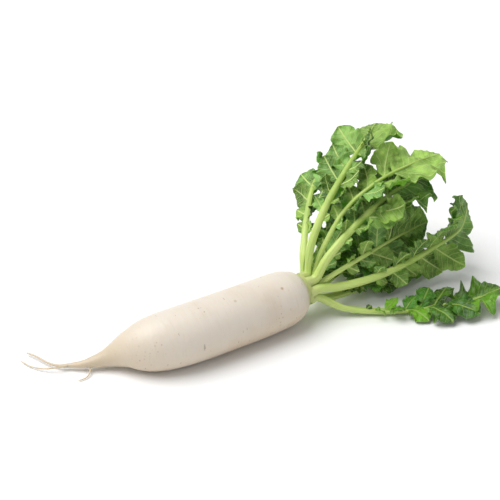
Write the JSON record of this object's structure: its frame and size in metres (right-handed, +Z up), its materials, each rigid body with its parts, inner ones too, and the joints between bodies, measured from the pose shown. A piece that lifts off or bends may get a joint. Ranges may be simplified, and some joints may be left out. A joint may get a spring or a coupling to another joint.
{
  "type": "daikon radish",
  "caption": "White daikon radish as picked, lying on its side, with its long tapered root and the rosette of lobed green leaves on its crown.",
  "frame": {"origin": "middle of the small flat on the belly of the root, on the surface that it lies on", "axes": "+X along the root from its tail to its leaves, +Z up"},
  "size_m": [0.5052, 0.247, 0.1669],
  "materials": {
    "root_skin": "smooth, slightly waxy",
    "leaf_green": "soft satin leaf"
  },
  "bodies": {
    "root": {"root": "root_skin", "leaf_front_low": "leaf_green", "leaf_front": "leaf_green", "leaf_front_top": "leaf_green", "leaf_top": "leaf_green", "leaf_back_top": "leaf_green", "leaf_back_low": "leaf_green", "leaf_under": "leaf_green", "leaf_inner_front": "leaf_green", "leaf_inner_top": "leaf_green", "leaf_inner_back": "leaf_green", "leaf_inner_mid": "leaf_green", "leaf_inner_low": "leaf_green", "leaf_heart_top": "leaf_green", "leaf_heart_low": "leaf_green"}
  },
  "joints": []
}
